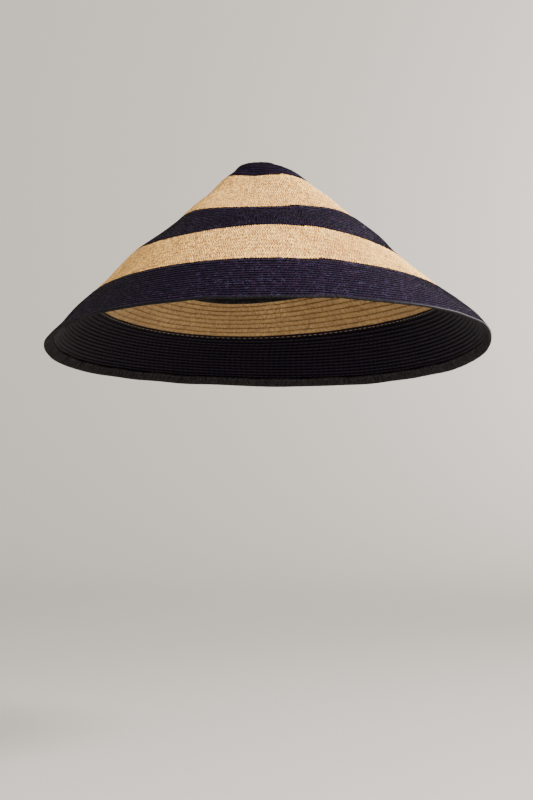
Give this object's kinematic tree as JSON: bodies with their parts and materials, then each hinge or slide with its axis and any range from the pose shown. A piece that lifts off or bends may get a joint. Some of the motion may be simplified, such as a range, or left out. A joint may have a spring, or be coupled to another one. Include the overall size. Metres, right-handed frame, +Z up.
{
  "type": "conical hat",
  "caption": "Conical sun hat of sewn straw braid in navy and natural bands, with a bound, wired rim and an inner ribbon sweatband.",
  "frame": {"origin": "centre of the rim, on the plane that the rim stands on", "axes": "+Z up along the cone's axis to the tip, -Y to the front of the hat, +X to the hat's left as worn"},
  "size_m": [0.3839, 0.384, 0.155],
  "materials": {
    "navy_braid": "dyed straw braid, low sheen",
    "natural_braid": "undyed straw braid, granular, matte",
    "dark_ribbon": "ribbed grosgrain ribbon, matte",
    "rim_wire": "spring wire wrapped in dark cotton",
    "joiner_metal": "plain crimped metal tube",
    "navy_thread": "matte sewing thread",
    "natural_thread": "matte sewing thread"
  },
  "bodies": {
    "root": {"tip_coil": "navy_braid", "upper_natural_coil": "natural_braid", "middle_navy_coil": "navy_braid", "lower_natural_coil": "natural_braid", "brim_navy_coil": "navy_braid", "edge_binding": "dark_ribbon", "brim_wire": "rim_wire", "wire_joiner": "joiner_metal", "sweatband": "dark_ribbon", "sweatband_join_tab": "dark_ribbon", "navy_braid_stitching": "navy_thread", "natural_braid_stitching": "natural_thread", "sweatband_stitching": "navy_thread", "edge_stitching": "navy_thread"}
  },
  "joints": []
}
